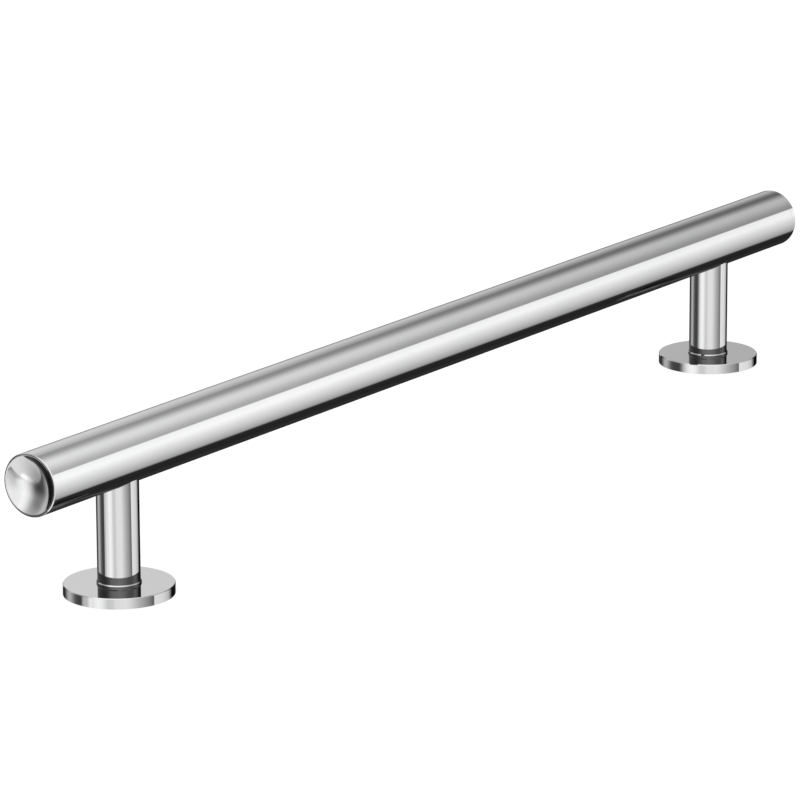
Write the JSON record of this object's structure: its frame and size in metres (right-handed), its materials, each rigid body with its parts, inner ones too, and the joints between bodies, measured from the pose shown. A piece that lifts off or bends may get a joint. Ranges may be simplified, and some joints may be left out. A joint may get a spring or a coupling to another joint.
{
  "type": "grab rail",
  "caption": "Straight round grab rail on two round posts, with dished end caps, thin disc flanges that lift to reach the deck screws, and screws hidden inside.",
  "frame": {"origin": "centre of the footprint, on the deck face midway between the two posts", "axes": "+X along the rail, +Z away from the deck, +Y across the rail"},
  "size_m": [0.5362, 0.0444, 0.0695],
  "materials": {
    "polished_chrome": "mirror-polished chrome",
    "plate_steel": "machined stainless steel with turning marks",
    "fastener_steel": "plain stainless steel",
    "black_rubber": "matt black nitrile rubber"
  },
  "bodies": {
    "rail": {"rail_tube": "polished_chrome", "end_cap_left": "polished_chrome", "end_cap_right": "polished_chrome", "cap_o_ring_left": "black_rubber", "cap_o_ring_right": "black_rubber", "post_left": "polished_chrome", "post_right": "polished_chrome", "saddle_nut_left": "fastener_steel", "saddle_nut_right": "fastener_steel", "tie_screw_left": "fastener_steel", "tie_screw_right": "fastener_steel", "locating_pin_left": "fastener_steel", "locating_pin_right": "fastener_steel", "mounting_plate_left": "plate_steel", "mounting_plate_right": "plate_steel", "cover_o_ring_left": "black_rubber", "cover_o_ring_right": "black_rubber", "deck_gasket_left": "black_rubber", "deck_gasket_right": "black_rubber"},
    "cover_left": {"cover_flange_left": "polished_chrome"},
    "cover_right": {"cover_flange_right": "polished_chrome"}
  },
  "joints": [
    {"name": "cover_left_lift", "type": "slide", "parent": "rail", "child": "cover_left", "axis": [0, 0, 1], "range_m": [0, 0.038]},
    {"name": "cover_right_lift", "type": "slide", "parent": "rail", "child": "cover_right", "axis": [0, 0, 1], "range_m": [0, 0.038]}
  ]
}
